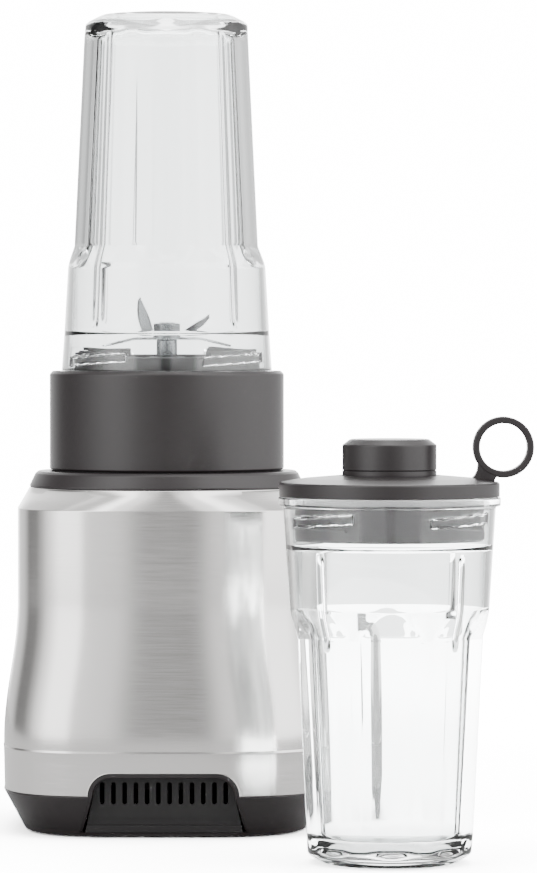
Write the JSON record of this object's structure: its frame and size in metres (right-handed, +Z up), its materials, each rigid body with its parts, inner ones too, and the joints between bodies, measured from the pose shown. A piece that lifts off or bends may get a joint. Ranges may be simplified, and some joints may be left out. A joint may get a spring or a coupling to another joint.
{
  "type": "countertop blender",
  "caption": "Personal blender: flared steel motor base, twist-on blade holder, inverted fluted clear cup, and a shorter clear travel cup with a screw lid and carry loop.",
  "frame": {"origin": "on the motor's axis, level with the surface that the base stands on", "axes": "+Z up, -Y towards the front with the vent, +X to the viewer's right, where the travel cup stands"},
  "size_m": [0.2425, 0.2902, 0.385],
  "materials": {
    "brushed_steel_shell": "vertical brushed, satin",
    "dark_grey_plastic": "fine satin moulding",
    "charcoal_plastic": "satin moulding",
    "black_rubber": "matt",
    "grey_silicone": "matt translucent grey",
    "clear_copolyester": "clear, polished",
    "ground_stainless": "ground and polished",
    "die_cast_alloy": "as cast",
    "laminated_iron": "laminated",
    "enamelled_copper": "enamelled wire",
    "sintered_bronze": "sintered",
    "brush_carbon": "pressed carbon",
    "circuit_board": "lacquered board",
    "wire_insulation": "extruded",
    "white_acetal": "moulded"
  },
  "bodies": {
    "base": {"steel_body": "brushed_steel_shell", "top_surround": "dark_grey_plastic", "jug_well": "charcoal_plastic", "well_seal": "black_rubber", "bottom_moulding": "dark_grey_plastic", "vent_panel": "charcoal_plastic", "base_plate": "charcoal_plastic", "rubber_feet": "black_rubber", "base_screws": "ground_stainless", "cord_gland": "charcoal_plastic", "fan_shroud": "charcoal_plastic", "lower_bracket": "die_cast_alloy", "upper_bracket": "die_cast_alloy", "motor_mounts": "black_rubber", "stator_core": "laminated_iron", "field_coils": "enamelled_copper", "brush_holders": "sintered_bronze", "carbon_brushes": "brush_carbon", "upper_bearing": "ground_stainless", "lower_bearing": "ground_stainless", "control_board": "circuit_board", "wire_loom": "wire_insulation", "safety_switches": "charcoal_plastic"},
    "rotor": {"motor_shaft": "ground_stainless", "rotor_core": "laminated_iron", "rotor_windings": "enamelled_copper", "commutator": "enamelled_copper", "cooling_fan": "charcoal_plastic", "drive_socket": "charcoal_plastic"},
    "interlock": {"interlock_pins": "white_acetal", "interlock_springs": "ground_stainless"},
    "seat": {"seat_ring": "black_rubber"},
    "holder": {"holder_sleeve": "dark_grey_plastic", "blade_base": "charcoal_plastic", "spindle_bearings": "sintered_bronze", "shaft_seal": "black_rubber"},
    "blades": {"blade_spindle": "ground_stainless", "spindle_circlip": "ground_stainless", "spindle_collar": "ground_stainless", "lower_blade": "ground_stainless", "upper_blade": "ground_stainless", "blade_washer": "ground_stainless", "blade_nut": "ground_stainless", "drive_dog": "charcoal_plastic"},
    "cup_gasket": {"cup_seal": "grey_silicone"},
    "cup": {"blending_cup": "clear_copolyester"},
    "travel": {"travel_cup": "clear_copolyester"},
    "lid_gasket": {"lid_seal": "grey_silicone"},
    "lid": {"travel_lid": "dark_grey_plastic"},
    "cap_gasket": {"cap_seal": "grey_silicone"},
    "cap": {"screw_cap": "dark_grey_plastic"}
  },
  "joints": [
    {"name": "motor_spin", "type": "hinge", "parent": "base", "child": "rotor", "pos_m": [0, 0, 0.1], "axis": [0, 0, 1], "continuous": true},
    {"name": "jug_lift", "type": "slide", "parent": "base", "child": "seat", "axis": [0, 0, 1], "range_m": [0, 0.09]},
    {"name": "jug_twist", "type": "hinge", "parent": "seat", "child": "holder", "pos_m": [0, 0, 0.16], "axis": [0, 0, 1], "range_deg": [-35, 0]},
    {"name": "interlock_press", "type": "slide", "parent": "base", "child": "interlock", "axis": [0, 0, 1], "range_m": [-0.0035, 0], "stiffness_N_per_m": 200, "deforming": ["interlock_springs"]},
    {"name": "blade_spin", "type": "hinge", "parent": "seat", "child": "blades", "pos_m": [0, 0, 0.2], "axis": [0, 0, 1], "continuous": true},
    {"name": "cup_turn", "type": "hinge", "parent": "cup_gasket", "child": "cup", "pos_m": [0, 0, 0.22], "axis": [0, 0, 1], "range_deg": [0, 45]},
    {"name": "cup_rise", "type": "slide", "parent": "holder", "child": "cup_gasket", "axis": [0, 0, 1], "range_m": [0, 0.0021]},
    {"name": "travel_lift", "type": "slide", "parent": "base", "child": "travel", "axis": [0, 0, 1], "range_m": [0, 0.15]},
    {"name": "lid_turn", "type": "hinge", "parent": "lid_gasket", "child": "lid", "pos_m": [0.1018, -0.164, 0.165], "axis": [0, 0, 1], "range_deg": [0, 45]},
    {"name": "lid_rise", "type": "slide", "parent": "travel", "child": "lid_gasket", "axis": [0, 0, 1], "range_m": [0, 0.0021]},
    {"name": "cap_turn", "type": "hinge", "parent": "cap_gasket", "child": "cap", "pos_m": [0.1018, -0.164, 0.18], "axis": [0, 0, 1], "range_deg": [0, 300]},
    {"name": "cap_rise", "type": "slide", "parent": "lid", "child": "cap_gasket", "axis": [0, 0, 1], "range_m": [0, 0.0051]}
  ],
  "couplings": [
    {"joint": "blade_spin", "follows": "motor_spin", "ratio": 1},
    {"joint": "interlock_press", "follows": "jug_twist", "m_per_rad": 0.005729},
    {"joint": "cup_rise", "follows": "cup_turn", "m_per_rad": 0.002546},
    {"joint": "lid_rise", "follows": "lid_turn", "m_per_rad": 0.002546},
    {"joint": "cap_rise", "follows": "cap_turn", "m_per_rad": 0.000955}
  ]
}
